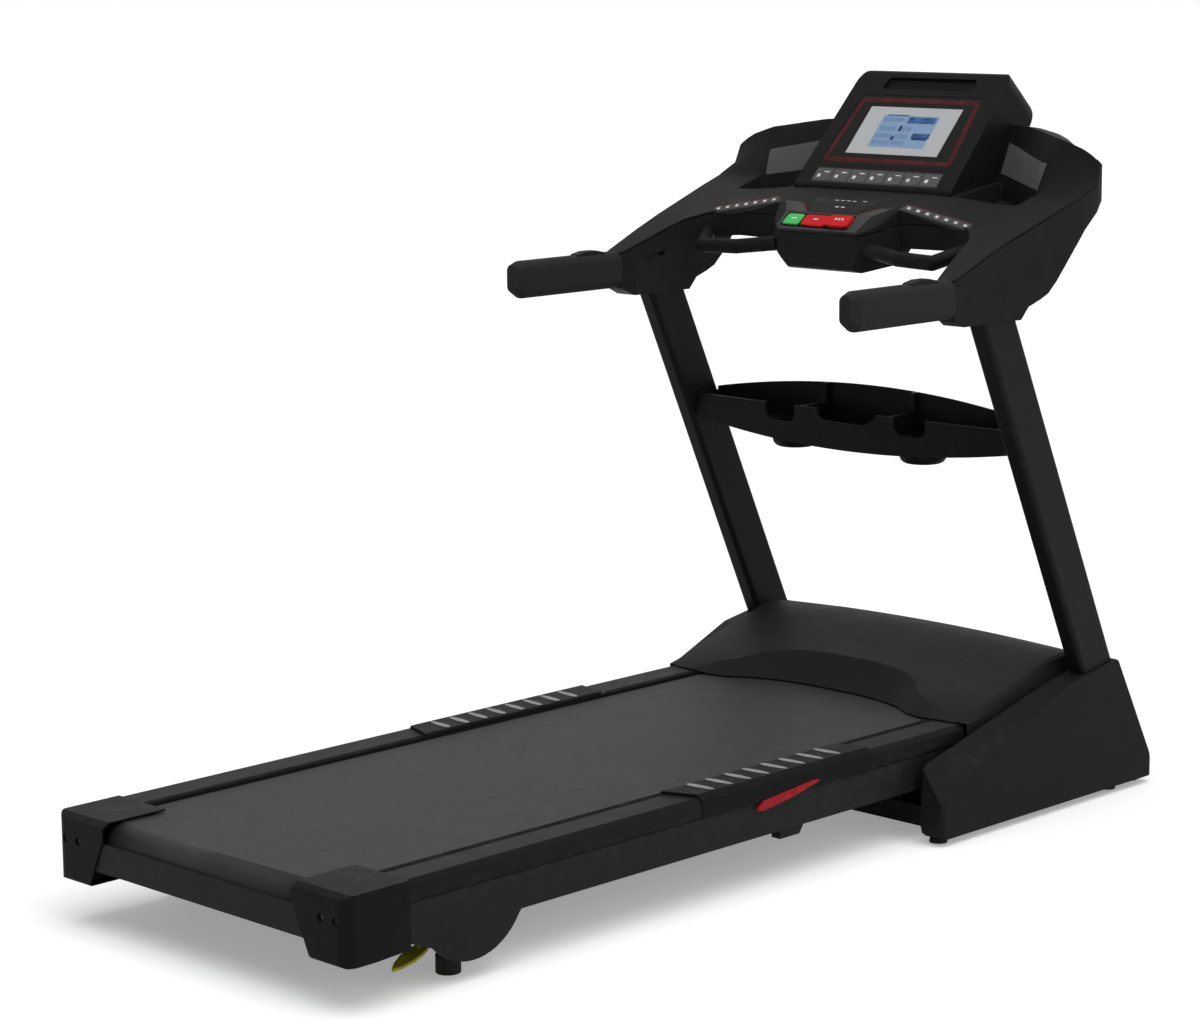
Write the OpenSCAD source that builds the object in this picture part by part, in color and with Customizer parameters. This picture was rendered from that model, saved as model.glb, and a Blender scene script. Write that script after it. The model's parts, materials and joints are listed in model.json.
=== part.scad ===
// Folding treadmill with a powered incline.
// +X is the walker's right, +Y points to the motor and console end, +Z is up.
// The origin is on the floor under the middle of the machine.

/* [Overall] */
// Length over the base covers and the rear end caps
overall_l = 1985; // [1900:5:2050]
// Width over the console arms
console_w = 880; // [860:2:900]

/* [Deck] */
// Width of the deck over its side frames
deck_w = 725; // [700:1:735]
// Width of the running belt
belt_w = 559; // [500:1:565]
// Height of the belt's walking surface above the floor
belt_top = 187; // [183:1:190]
// Thickness of the running belt
belt_t = 2.4; // [1.6:0.1:3]
// Thickness of the deck board
board_t = 21; // [18:1:24]
// Diameter of the front roller
front_roller_d = 62; // [58:1:64]
// Diameter of the rear roller
rear_roller_d = 60; // [56:1:62]

/* [Base and uprights] */
// Width across a side tube or an upright tube
tube_w = 38; // [34:1:40]
// Lean of the uprights towards the walker, degrees
lean = 24.9; // [22:0.1:27]
// Height of the top of the upright tubes
upright_top = 931; // [900:1:950]
// Outer half width of the base covers
cover_half = 428; // [426:1:432]

/* [Hidden] */
$fn = 48;

// Shared heights and stations; every station is measured from the rear end face
deck_half = deck_w / 2;
rail_out = 422;
rail_in = rail_out - tube_w;
frame_z0 = 94;
frame_z1 = 154.6;
frame_w = 40;
frame_out = deck_half - 2.5;
frame_in = frame_out - frame_w;
rail_top = 191;
belt_edge = 285.6;
lean_run = tan(lean);
upright_run = 98;
upright_round = 10;

// Pivots, as [station, height]
lift_pivot = [1460, 100];
fold_pivot = [1765, 105];
crank_pin = [1475, 28];
motor_pin = [1690, 36];
strut_low = [1590, 68];
strut_high = [1120, 82];
belt_gap = 0.35;
front_axle = [1575, belt_top - belt_t - belt_gap - front_roller_d / 2];
rear_axle = [44, belt_top - belt_t - belt_gap - rear_roller_d / 2];
motor_axle = [1682, 165];
pedal_pin = [234, 99];
cap_in = 237;
cover_in = 381;
wheel_pin = [1944, 34];

// ---------- shape helpers ----------

// Moves children from stations (measured from the rear end) to the centred frame
module at_rear() translate([0, -overall_l / 2, 0]) children();

// Extrudes a [station, height] outline across the machine, from x0 to x1
module across(x0, x1) {
  translate([x0, 0, 0]) rotate([90, 0, 90]) linear_extrude(x1 - x0) children();
}

// A round bar across the machine, centred on a [station, height] point
module bar_x(x0, x1, p, d) {
  translate([x0, p[0], p[1]]) rotate([0, 90, 0]) cylinder(h = x1 - x0, d = d);
}

// A box given by its corners
module block(x0, x1, y0, y1, z0, z1) {
  translate([x0, y0, z0]) cube([x1 - x0, y1 - y0, z1 - z0]);
}

// The same piece on the left side
module left() mirror([1, 0, 0]) children();

// Corner-rounded outline
module rounded(r) offset(r = r, $fn = 24) offset(delta = -r) children();

// Points of an arc, degrees
function arc(cx, cy, r, a0, a1, n) =
  [for (i = [0 : n]) [cx + r * cos(a0 + (a1 - a0) * i / n), cy + r * sin(a0 + (a1 - a0) * i / n)]];

// Smooth step from 0 to 1
function ease(t) = t <= 0 ? 0 : t >= 1 ? 1 : t * t * (3 - 2 * t);

// Station of the front face of an upright at height z
function upright_front(z) = 1852.5 - lean_run * (z - 266.7);

// A closed shell between two equal grids of points, given row by row
module thick_sheet(outer, inner) {
  rows = len(outer);
  cols = len(outer[0]);
  count = rows * cols;
  edge = concat(
    [for (c = [0 : cols - 2]) c],
    [for (r = [0 : rows - 2]) r * cols + cols - 1],
    [for (c = [cols - 1 : -1 : 1]) (rows - 1) * cols + c],
    [for (r = [rows - 1 : -1 : 1]) r * cols]
  );
  polyhedron(
    points = [for (grid = [outer, inner], row = grid, p = row) p],
    faces = concat(
      [for (r = [0 : rows - 2], c = [0 : cols - 2]) let (a = r * cols + c)
        each [[a, a + cols + 1, a + cols], [a, a + 1, a + cols + 1]]],
      [for (r = [0 : rows - 2], c = [0 : cols - 2]) let (a = count + r * cols + c)
        each [[a, a + cols, a + cols + 1], [a, a + cols + 1, a + 1]]],
      [for (i = [0 : len(edge) - 1]) let (a = edge[i], b = edge[(i + 1) % len(edge)])
        each [[a, b + count, b], [a, a + count, b + count]]]
    )
  );
}

// ---------- base ----------

module base_rail() color("dimgray") at_rear() {
  difference() {
    block(rail_in, rail_out, 1345, 1912, 16, 76);
    block(rail_in + 3, rail_out - 3, 1348, 1909, 19, 73);
  }
  // Fork that carries the transport wheel
  for (x = [rail_in, rail_out - 4]) difference() {
    block(x, x + 4, 1910, 1958, 24, 50);
    bar_x(x - 1, x + 5, wheel_pin, 8);
  }
}

module base_rail_right() base_rail();

module base_rail_left() left() base_rail();

module base_rear_tube() color("dimgray") at_rear() {
  difference() {
    block(-rail_in, rail_in, 1386, 1424, 17, 55);
    block(-rail_in - 1, rail_in + 1, 1389, 1421, 20, 52);
  }
  // Lugs for the lift frame's pivot pins
  for (s = [-1, 1]) difference() {
    across(s * 314 - 4, s * 314 + 4)
      polygon([[1388, 55], [1422, 55], [1474, 88], [1477, 104], [1466, 116], [1446, 112]]);
    bar_x(s * 314 - 9, s * 314 + 9, lift_pivot, 16);
  }
}

module base_front_tube() color("dimgray") at_rear() {
  difference() {
    block(-rail_in, rail_in, 1878, 1916, 17, 55);
    block(-rail_in - 1, rail_in + 1, 1881, 1913, 20, 52);
  }
  // Fork reaching back to the incline motor
  for (s = [-1, 1]) difference() {
    across(s * 41 - 4, s * 41 + 4)
      polygon([[1680, 26], [1688, 20], [1878, 20], [1878, 52], [1688, 52], [1680, 46]]);
    bar_x(s * 41 - 9, s * 41 + 9, motor_pin, 12);
  }
}

module base_feet() color("black") at_rear()
  for (s = [-1, 1], y = [1375, 1885]) translate([s * 392, y, 0]) {
    cylinder(h = 9, d1 = 34, d2 = 30);
    translate([0, 0, 9]) cylinder(h = 7, d = 12);
  }

// Outline of a base cover seen from the side
module cover_outline() {
  polygon(concat(
    [[1334, 14], [1980, 14], [1985, 30], [1973, 58], [1866, 256], [1858, 261]],
    [[1706, 236], [1504, 184], [1334, 146], [1322, 138], [1316, 40], [1322, 20]]
  ));
}

// Plan of a base cover, rounded at its outer corners, moved in by t
module cover_plan(t) offset(delta = -t) rounded(16) polygon([[330, 1316], [cover_half, 1316],
  [cover_half, overall_l], [330, overall_l]]);

module base_cover() color([0.15, 0.15, 0.15]) at_rear() difference() {
  intersection() {
    across(cover_in, cover_half) cover_outline();
    linear_extrude(300) cover_plan(0);
  }
  // Hollow inside, open at the floor
  intersection() {
    across(cover_in + 2.6, cover_half) union() {
      offset(delta = -3) cover_outline();
      translate([1330, 10]) square([640, 20]);
    }
    linear_extrude(300) cover_plan(3);
  }
  // Way through for the upright
  upright_tube(0.4, 60, 320);
  // Notches round the cross tubes
  block(cover_in - 1, cover_in + 3, 1384, 1426, 10, 57);
  block(cover_in - 1, cover_in + 3, 1876, 1918, 10, 57);
}

module base_cover_right() base_cover();

module base_cover_left() left() base_cover();

// Centre line of an upright, and its leaning tube grown by a clearance
module upright_tube(grow, z0, z1) intersection() {
  translate([(rail_in + rail_out) / 2, upright_front(0) - upright_run / 2, 0]) rotate([lean, 0, 0])
    translate([0, 0, -60]) linear_extrude(1260) rounded(upright_round + grow)
      square([tube_w + 2 * grow, upright_run * cos(lean) + 2 * grow], center = true);
  block(rail_in - 9, rail_out + 9, 1300, 1990, z0, z1);
}

module upright() color([0.2, 0.2, 0.2]) at_rear() {
  difference() {
    upright_tube(0, 76, upright_top);
    upright_tube(-2.5, 75, upright_top - 3);
  }
  // Handlebar tube welded to the head of the upright
  across(rail_in + 6, rail_out - 6)
    polygon([[1120, 960], [1120, 992], [1420, 1000], [1478, 1000], [1500, upright_top],
      [1450, upright_top], [1412, 956]]);
}

module upright_right() upright();

module upright_left() left() upright();

module base_wheel() color("black") at_rear() difference() {
  union() {
    bar_x(rail_in + 6, rail_out - 6, wheel_pin, 54);
    bar_x(rail_in, rail_out, wheel_pin, 7.9);
  }
  for (x = [rail_in + 5, rail_out - 11]) difference() {
    bar_x(x, x + 6, wheel_pin, 42);
    bar_x(x - 1, x + 7, wheel_pin, 16);
  }
}

module transport_wheel_right() base_wheel();

module transport_wheel_left() left() base_wheel();

// ---------- tray ----------

tray_half = rail_in - 0.1;
tray_back = 1650;
tray_front = 1574;
tray_floor = 684;
cup_x = 157;
cup_y = 1612;
cup_floor = 641;

// Bow of the tray's edges: 1 in the middle, 0 at the uprights
function bow(x) = 1 - pow(x / tray_half, 2);

// Plan of the tray at inset e from its edges
module tray_plan(e) {
  n = 24;
  polygon(concat(
    [for (i = [0 : n]) let (x = tray_half * (2 * i / n - 1)) [x, tray_front - 8 * bow(x) + e]],
    [for (i = [0 : n]) let (x = tray_half * (1 - 2 * i / n)) [x, tray_back + 8 * bow(x) - e]]
  ));
}

// Extrudes an [x, height] outline along the machine, from station y0 to y1
module along(y0, y1) translate([0, y1, 0]) rotate([90, 0, 0]) linear_extrude(y1 - y0) children();

// Front view of the tray: a bowed back wall over an underside that is deepest in the middle
module tray_face() polygon(concat(
  [for (i = [0 : 24]) let (x = tray_half * (1 - i / 12)) [x, 728 + 33 * bow(x)]],
  [for (i = [0 : 24]) let (x = tray_half * (i / 12 - 1)) [x, 676 - 30 * bow(x)]]
));

// What is open above the front lip: a level lip with a dip at each cup and at the pocket
module tray_mouth() {
  translate([-tray_half - 1, 721]) square([2 * tray_half + 2, 60]);
  for (s = [-1, 1]) rounded(16) translate([s * (cup_x + 2) - 37, 688]) square([74, 60]);
  rounded(16) polygon([[-64, 760], [-64, 700], [48, 698], [76, 712], [92, 760]]);
}

module tray_bay(x0, x1, floor_z, top) translate([0, 0, floor_z]) linear_extrude(top - floor_z)
  intersection() {
    tray_plan(5);
    rounded(9) translate([min(x0, x1), 1400]) square([abs(x1 - x0), 400]);
  }

module accessory_tray() color([0.1, 0.1, 0.1]) at_rear() difference() {
  union() {
    intersection() {
      translate([0, 0, 600]) linear_extrude(200) tray_plan(0);
      along(1500, 1700) tray_face();
    }
    for (s = [-1, 1]) translate([s * cup_x, cup_y, cup_floor - 6]) rotate_extrude()
      polygon(concat([[0, 60], [0, 0]], arc(30, 14, 14, -90, 0, 6), [[44, 60]]));
  }
  // Cut the front wall down to its lip
  along(1500, tray_back - 12) tray_mouth();
  for (s = [-1, 1]) {
    // Cup well, and the shelf beside it
    translate([s * cup_x, cup_y, cup_floor]) cylinder(h = 120, d = 77);
    tray_bay(s * 112, s * (tray_half - 5), tray_floor, 800);
  }
  // Pocket in the middle
  tray_bay(-104, 104, 658, 800);
}

// ---------- handlebar grips ----------

module grip() color([0.16, 0.16, 0.16]) at_rear() difference() {
  union() {
    translate([403, 1366, 0]) rotate([90, 0, 0]) linear_extrude(250) rounded(17)
      translate([-20.5, 943]) square([41, 70]);
    translate([403, 1116, 0]) hull() {
      rotate([90, 0, 0]) linear_extrude(1) rounded(17) translate([-20.5, 943]) square([41, 70]);
      translate([0, -20, 0]) rotate([90, 0, 0]) linear_extrude(1) rounded(12)
        translate([-13, 955]) square([26, 52]);
    }
  }
  across(rail_in + 5.5, rail_out - 5.5)
    polygon([[1119, 959.5], [1119, 992.5], [1405, 1000.2], [1405, 955.2]]);
  // Seat of the thumb key
  translate([403, 1294, 1009]) cube([24, 74, 12], center = true);
}

module grip_right() grip();

module grip_left() left() grip();

module thumb_key() color([0.25, 0.25, 0.25]) at_rear() translate([403, 1294, 0]) difference() {
  across(-11, 11) polygon([[-36, 1006], [-36, 1014.5], [-14, 1019], [14, 1019], [36, 1014.5],
    [36, 1006], [10, 1004.5], [-10, 1004.5]]);
}

module thumb_key_right() thumb_key();

module thumb_key_left() left() thumb_key();

// ---------- console ----------

// Columns of the console's skin: outer half widths of the lines that run along it
skin_cols = [440, 432, 420, 404, 397, 384, 366, 352, 340, 332, 322, 306, 290, 250, 217, 210, 204,
  182, 146, 124, 94, 50, 0];

// Station of the console's front and rear edge along a column
function console_front(c) = lookup(c, [[0, 1488], [94, 1488], [124, 1512], [146, 1552],
  [250, 1556], [300, 1546], [324, 1532], [352, 1500], [384, 1400], [397, 1366], [440, 1366]]);
function console_rear(c) = lookup(c, [[0, 1850], [160, 1848], [240, 1840], [300, 1826],
  [360, 1813], [440, 1801]]);

// Half width of the console at a station, and the place of a column there
function console_side(y) = lookup(y, [[1366, 421], [1480, 425], [1640, 436], [1706, 440],
  [1752, 440], [1774, 434], [1790, 412], [1801, 382]]) * console_w / 880;
function column_x(c, y) = c <= 300 ? c : 300 + (c - 300) / 140 * (console_side(y) - 300);

// Line of the ridge along the arm, and the skin's height with its crown at the middle
function ridge(y) = lookup(y, [[1366, 1012], [1482, 1062], [1624, 1111], [1699, 1137],
  [1790, 1147]]);
function crown(c, y) = 22 * (1 - ease((c - 146) / 184))
  * lookup(y, [[1500, 0], [1552, 1], [1640, 0.6], [1700, 0.3]]);
function skin_top(c, y) = ridge(y) + crown(c, y);

// Floor of the wells beside the display, and the wall behind them
function in_well(c) = c > 209 && c < 335;
function wall_foot(c) = [lookup(c, [[0, 1790], [200, 1780], [240, 1764], [325, 1723],
  [352, 1715], [440, 1712]]), lookup(c, [[0, 1150], [325, 1146], [440, 1142]])];
function wall_mid(c) = [lookup(c, [[0, 1820], [200, 1806], [240, 1785], [325, 1741],
  [400, 1747], [440, 1750]]), lookup(c, [[0, 1205], [240, 1205], [325, 1196], [400, 1182],
  [440, 1166]])];
function wall_top(c) = [lookup(c, [[0, 1832], [200, 1826], [240, 1812], [352, 1765],
  [440, 1763]]), lookup(c, [[0, 1253], [240, 1251], [352, 1233], [418, 1213], [440, 1206]])];

// One column of the skin from the front edge over the wall to the rear edge, as stations and heights
function skin_column(c) = let (front = console_front(c), foot = wall_foot(c), top = wall_top(c),
  rear = console_rear(c), flat = [for (t = [0, 0.06, 0.3, 0.55, 0.8, 1])
    let (y = front + t * (1640 - front)) [y, skin_top(c, y)]])
  concat([[front, ridge(front) - 3]], flat,
    [[1647, skin_top(c, 1647)],
     [1654, in_well(c) ? 1079 : skin_top(c, 1654)],
     [foot[0] - 8, in_well(c) ? 1096 + (foot[0] - 1723) * 0.4
       : min(skin_top(c, foot[0] - 8), foot[1] - 1)],
     foot, wall_mid(c), top, [rear - 5, top[1] - 2], [rear, top[1] - 9], [rear, seam_rear]]);

seam_rear = 1190.2;
skin_grid = [for (c = concat([for (c = skin_cols) -c],
    [for (i = [len(skin_cols) - 2 : -1 : 0]) skin_cols[i]]))
  [for (p = skin_column(abs(c))) [sign(c) * column_x(abs(c), p[0]), p[0], p[1]]]];

// Grid moved in by t along its normals
function pushed(grid, t) = let (rows = len(grid), cols = len(grid[0]))
  [for (r = [0 : rows - 1]) [for (k = [0 : cols - 1]) let (
    du = grid[min(r + 1, rows - 1)][k] - grid[max(r - 1, 0)][k],
    dv = grid[r][min(k + 1, cols - 1)] - grid[r][max(k - 1, 0)],
    n = cross(du, dv)) grid[r][k] - t * n / norm(n)]];

// Plan of the console: the outline of its skin
module console_plan(grow) {
  half = concat([for (i = [len(skin_cols) - 1 : -1 : 0]) let (c = skin_cols[i],
      y = console_front(c)) [column_x(c, y), y]],
    [for (y = [1480, 1560, 1640, 1706, 1752, 1774, 1790]) [console_side(y), y]],
    [for (c = skin_cols) let (y = console_rear(c)) [column_x(c, y), y]]);
  offset(delta = grow) for (m = [0, 1]) mirror([m, 0]) polygon(half);
}

// Puts children on the sloping top of the pod, over its front edge
module on_block() translate([0, 1496.2, 1067.1]) rotate([36, 0, 0]) children();

key_y = 16.4;

module console_upper() color([0.12, 0.12, 0.12]) at_rear() difference() {
  thick_sheet(skin_grid, pushed(skin_grid, 3));
  head_pocket();
  // Seats that the start key and the stop key are pressed into
  for (place = [start_place, stop_place]) key_body(place, 0.8, -1.6, 8);
}

// Top edge of the lower shell's arms, just under the skin's edge
arm_seam = [[1366, 1007.4], [1482, 1056.6], [1624, 1106.2], [1699, 1132.2], [1713, 1137],
  [1752, 1162.6], [1767, 1202.5], [1792, 1200.5], [1796.5, 1190]];
// Back and underside of the arms
arm_back = [[1802, 1182], [1796, 1160], [1716, 1076], [1640, 990], [1618, 970], [1598, 961],
  [1566, 950], [1546, 928], [1394, 928], [1370, 940], [1366, 944]];
arm_in = 374;

// Outer form of the lower shell moved in by t; lift raises its open top
module lower_form(t, lift) {
  for (m = [0, 1]) mirror([m, 0, 0]) intersection() {
    translate([0, 0, 900]) linear_extrude(400) console_plan(-t);
    across(arm_in + t, 460) offset(delta = -t)
      polygon(concat([for (p = arm_seam) p + [0, lift]], arm_back));
  }
  intersection() {
    translate([0, 0, 900]) linear_extrude(400) console_plan(-t);
    across(-arm_in - 2 - t, arm_in + 2 + t) offset(delta = -t)
      polygon([[1366, 1007.4 + lift], [1482, 1056.6 + lift], [1624, 1106.2 + lift],
        [1699, 1132.2 + lift], [1762, 1190 + lift], [1860, 1190 + lift], [1860, 1156],
        [1820, 1128], [1700, 1081], [1560, 1040], [1490, 1020], [1366, 984]]);
  }
  // Pod under the start and stop keys
  intersection() {
    translate([0, 0, 900]) linear_extrude(400) console_plan(-t);
    translate([0, 0, 900]) linear_extrude(400) offset(delta = -t) polygon([[-90, 1480],
      [90, 1480], [146, 1562], [146, 1660], [-146, 1660], [-146, 1562]]);
    across(-152, 152) offset(delta = -t) polygon([[1486, 1060.4 + lift], [1500, 1060 + lift],
      [1660, 1100], [1660, 1072], [1600, 1048], [1556, 1008], [1514, 991], [1497, 996],
      [1489, 1016]]);
  }
}

module console_lower() color([0.17, 0.17, 0.17]) at_rear() {
  difference() {
    lower_form(0, 0);
    lower_form(3, 9);
    // Ways in for the upright heads and the handlebar tubes
    for (m = [0, 1]) mirror([m, 0, 0]) {
      upright_tube(0.5, 900, 940);
      pulse_form(28.1);
      across(rail_in + 5.5, rail_out - 5.5) polygon([[1360, 955], [1360, 1000.5],
        [1375, 1000.5], [1375, 955]]);
    }
  }
  // Ribs that sit on the handlebar tubes
  for (m = [0, 1], y = [1428, 1460]) mirror([m, 0, 0]) intersection() {
    translate([0, 0, 900]) linear_extrude(400) console_plan(-1);
    block(arm_in - 20, 430, y, y + 4, 1000, 1026);
  }
}

// ---------- display ----------

display_tilt = 46.8;
display_foot = [1638, 1131];
head_half = 191;

// Puts children on the display's face: x across, y up the face, z out towards the walker
module on_face() translate([0, display_foot[0], display_foot[1]])
  rotate([display_tilt, 0, 0]) children();

// Front view of the display head
module head_plan(grow) offset(r = grow) difference() {
  rounded(44) polygon([[-head_half - 1, -40], [head_half + 1, -40], [head_half - 9, 306],
    [9 - head_half, 306]]);
  translate([-300, -60]) square([600, 60]);
}

// Side view of the head: [height up the face, depth]; deepest over the console
module head_side(grow) offset(delta = grow) rounded(12) polygon([[0, 0], [292, 0], [303, -12],
  [307, -60], [305, -82], [292, -98], [258, -104], [150, -104], [60, -70], [0, -45]]);

// Extrudes a side view across the face, over depths d0 to d1
module head_form(grow, d0, d1) intersection() {
  translate([0, 0, -130]) linear_extrude(160) head_plan(grow);
  rotate([90, 0, 90]) translate([0, 0, -220]) linear_extrude(440) head_side(grow);
  translate([-250, -50, d0]) cube([500, 400, d1 - d0]);
}

// Room for the head in the console's skin
module head_pocket() on_face() head_form(0.5, -130, 20);

module display_housing() color([0.13, 0.13, 0.13]) at_rear() on_face() difference() {
  head_form(0, -40, 20);
  // Seat of the bezel, and the sound slot along the top
  translate([0, 0, -4]) linear_extrude(10) rounded(8) bezel_plan(0.5);
  translate([0, 0, -7]) linear_extrude(20) rounded(9)
    polygon([[-114, 248], [114, 248], [104, 277], [-104, 277]]);
}

module display_back() color([0.1, 0.1, 0.1]) at_rear() {
  on_face() head_form(0, -130, -40.2);
  // Feet on the floor of the lower shell
  for (x = [-100, 100]) across(x - 5, x + 5)
    polygon([[1700, 1085], [1738, 1100], [1738, 1140], [1700, 1124]]);
}

module bezel_plan(grow) offset(delta = grow) polygon([[-160, 60], [160, 60], [147, 232],
  [-147, 232]]);

lcd_mid = 147;

module display_bezel() color([0.2, 0.13, 0.14]) at_rear() on_face() difference() {
  translate([0, 0, -4]) linear_extrude(3.4) rounded(7.5) bezel_plan(0);
  translate([0, 0, -5]) linear_extrude(10) square_at(0, lcd_mid, 223, 117);
}

module square_at(x, y, w, h) translate([x - w / 2, y - h / 2]) square([w, h]);

module lcd_screen() color([0.6, 0.7, 0.8]) at_rear() on_face()
  translate([0, 0, -4]) linear_extrude(2.4) square_at(0, lcd_mid, 222.6, 116.6);

// ---------- keys and pulse grips ----------

// Centre, width and height of the start key and the stop key on the pod's slope
start_place = [-68, 34, 17];
stop_place = [-14, 44, 19];

// A key's outline on the slope, made larger by grow, from height z0 over h
module key_body(place, grow, z0, h) on_block() translate([place[0], key_y, z0])
  linear_extrude(h) rounded(3) square_at(0, 0, place[1] + grow, place[2] + grow);

module start_key() color([0.2, 0.6, 0.3]) at_rear() key_body(start_place, 0, -0.1, 3.4);

module stop_key() color([0.7, 0.1, 0.12]) at_rear() key_body(stop_place, 0, -0.1, 3.4);

module safety_key() color([0.7, 0.1, 0.12]) at_rear() on_block()
  translate([37, key_y, 0.3]) linear_extrude(7) rounded(6) square_at(0, 0, 42, 20);

// A round rod from a to b
module rod(a, b, d) let (v = b - a) translate(a)
  rotate([0, acos(v[2] / norm(v)), atan2(v[1], v[0])]) cylinder(h = norm(v), d = d);

// A bowed bar from the pod's side to the underside of the wing
module pulse_form(d) {
  path = [[110, 1506, 1036], [196, 1486, 1026], [278, 1482, 1024], [300, 1514, 1036]];
  for (i = [0 : 2]) rod(path[i], path[i + 1], d);
  for (i = [1 : 2]) translate(path[i]) sphere(d = d);
}

module pulse_bar() color([0.3, 0.3, 0.32]) at_rear() pulse_form(28);

module pulse_bar_right() pulse_bar();

module pulse_bar_left() left() pulse_bar();

// ---------- mains panel ----------

module power_panel() color([0.1, 0.1, 0.1]) at_rear() difference() {
  block(-340, -250, 1916, 1932, 17, 58);
  block(-334, -306, 1926, 1940, 28, 48);
  block(-296, -276, 1926, 1940, 27.5, 46.5);
  translate([-262, 1918, 38]) rotate([-90, 0, 0]) cylinder(h = 20, d = 10.4);
}

module rocker_switch() color([0.05, 0.05, 0.05]) at_rear()
  across(-295.6, -276.4) polygon([[1929, 29], [1935, 29], [1931.5, 37], [1935, 45], [1929, 45]]);

module breaker_button() color("white") at_rear()
  translate([-262, 1921, 38]) rotate([-90, 0, 0]) cylinder(h = 16, d = 10);

// ---------- lift frame and incline drive ----------

module lift_frame() color("dimgray") at_rear() {
  for (s = [-1, 1]) {
    // Arm from the base pivot to the fold pivot
    difference() {
      across(s * 301 - 5, s * 301 + 5) rounded(8)
        polygon([[1434, 26], [1458, 26], [1490, 62], [1740, 62], [1784, 92], [1784, 118],
          [1768, 124], [1745, 112], [1722, 88], [1494, 88], [1478, 112], [1442, 112]]);
      bar_x(s * 301 - 9, s * 301 + 9, fold_pivot, 25.1);
    }
    // Pivot pin in the base lug
    bar_x(s * 311.5 - 7.5, s * 311.5 + 7.5, lift_pivot, 15.9);
  }
  // Cross tube with the crank for the incline screw
  difference() {
    bar_x(-297, 297, [1446, 37], 20);
    bar_x(-298, 298, [1446, 37], 14);
  }
  for (s = [-1, 1]) difference() {
    across(s * 20 - 4, s * 20 + 4) rounded(5)
      polygon([[1440, 46], [1466, 50], [1486, 50], [1486, 18], [1462, 18], [1440, 28]]);
    // Slot that lets the screw's pin keep to its straight line
    hull() for (dz = [-1, 7.3]) bar_x(s * 20 - 9, s * 20 + 9, crank_pin + [-0.55, dz], 11.8);
  }
}

module fold_cradle() color("gray") at_rear() {
  // Pivot shaft through the lift arms and the deck's side tubes
  bar_x(-frame_in - 20, frame_in + 20, fold_pivot, 25);
  for (s = [-1, 1]) across(s * 288 - 4, s * 288 + 4) rounded(6)
    polygon([[1388, 56], [1740, 56], [1778, 90], [1778, 118], [1752, 118], [1722, 82],
      [1388, 76]]);
  difference() {
    union() {
      block(-286, 286, 1604, 1616, 58, 78);
      for (s = [-1, 1]) across(s * 15 - 4, s * 15 + 4)
        polygon([[1606, 58], [1606, 78], [1590, 80], [1578, 74], [1578, 60], [1590, 57]]);
    }
    bar_x(-30, 30, strut_low, 10.05);
  }
}

screw_angle = atan2(motor_pin[1] - crank_pin[1], motor_pin[0] - crank_pin[0]);
screw_len = norm(motor_pin - crank_pin);

// Puts children on the incline screw: z runs from the crank pin towards the motor
module on_screw() translate([0, crank_pin[0], crank_pin[1]])
  rotate([screw_angle - 90, 0, 0]) children();

module incline_motor() color([0.25, 0.25, 0.28]) at_rear() {
  on_screw() difference() {
    union() {
      translate([-30, -38, screw_len - 68]) cube([60, 58, 84]);
      for (s = [-1, 1]) translate([s * 37.5, 0, screw_len]) rotate([0, 90, 0])
        cylinder(h = 17, d = 11.9, center = true);
      translate([30, -12, screw_len - 42]) rotate([0, 90, 0]) cylinder(h = 118, d = 50);
    }
    translate([0, 0, screw_len - 90]) cylinder(h = 140, d = 18.15);
  }
}

module incline_screw() color("silver") at_rear() on_screw() {
  translate([0, 0, 10]) cylinder(h = screw_len + 2, d = 18);
  translate([-15, -10, -10]) cube([30, 20, 22]);
  rotate([0, 90, 0]) cylinder(h = 56, d = 9.9, center = true);
}

// ---------- gas strut ----------

strut_angle = atan2(strut_high[1] - strut_low[1], strut_low[0] - strut_high[0]);
strut_len = norm(strut_high - strut_low);

// Puts children on the strut: z runs from the lower pin to the upper pin
module on_strut() translate([0, strut_low[0], strut_low[1]])
  rotate([90 - strut_angle, 0, 0]) children();

module strut_cylinder() color([0.15, 0.15, 0.15]) at_rear() on_strut() difference() {
  union() {
    translate([0, 0, 16]) cylinder(h = 250, d = 24);
    translate([-10, -9, -9]) cube([20, 18, 28]);
    rotate([0, 90, 0]) cylinder(h = 42, d = 9.9, center = true);
  }
  translate([0, 0, 40]) cylinder(h = 300, d = 10.1);
}

module strut_rod() color("silver") at_rear() on_strut() {
  translate([0, 0, 60]) cylinder(h = strut_len - 70, d = 10);
  translate([-8, -9, strut_len - 20]) cube([16, 18, 30]);
}

// ---------- deck frame ----------

module deck_rail() color([0.18, 0.18, 0.18]) at_rear() difference() {
  union() {
    block(frame_in, frame_out, 50, 1800, frame_z0, frame_z1);
    // Foot plate hanging from the rear of the side frame
    across(frame_out - 5, frame_out) polygon(concat([[391, 120], [391, frame_z1],
      [133, frame_z1], [133, 90], [168, 76]], arc(264, 150, 116, 222, 328, 16)));
    // Tab that carries the rear foot
    block(277, frame_in + 1, 246, 286, frame_z0, frame_z0 + 5);
    // Lug under the middle of the side frame
    across(330, 350) polygon([[992, frame_z0 + 1], [1058, frame_z0 + 1], [1050, 66], [1000, 66]]);
  }
  block(frame_in + 3, frame_out - 5, 53, 1797, frame_z0 + 3, frame_z1 - 3);
  bar_x(frame_in - 1, frame_out - 5, fold_pivot, 25.15);
  // Slot for the rear roller's shaft
  block(frame_in - 1, frame_in + 4, 30, 70, rear_axle[1] - 9, rear_axle[1] + 9);
}

module deck_rail_right() deck_rail();

module deck_rail_left() left() deck_rail();

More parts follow.
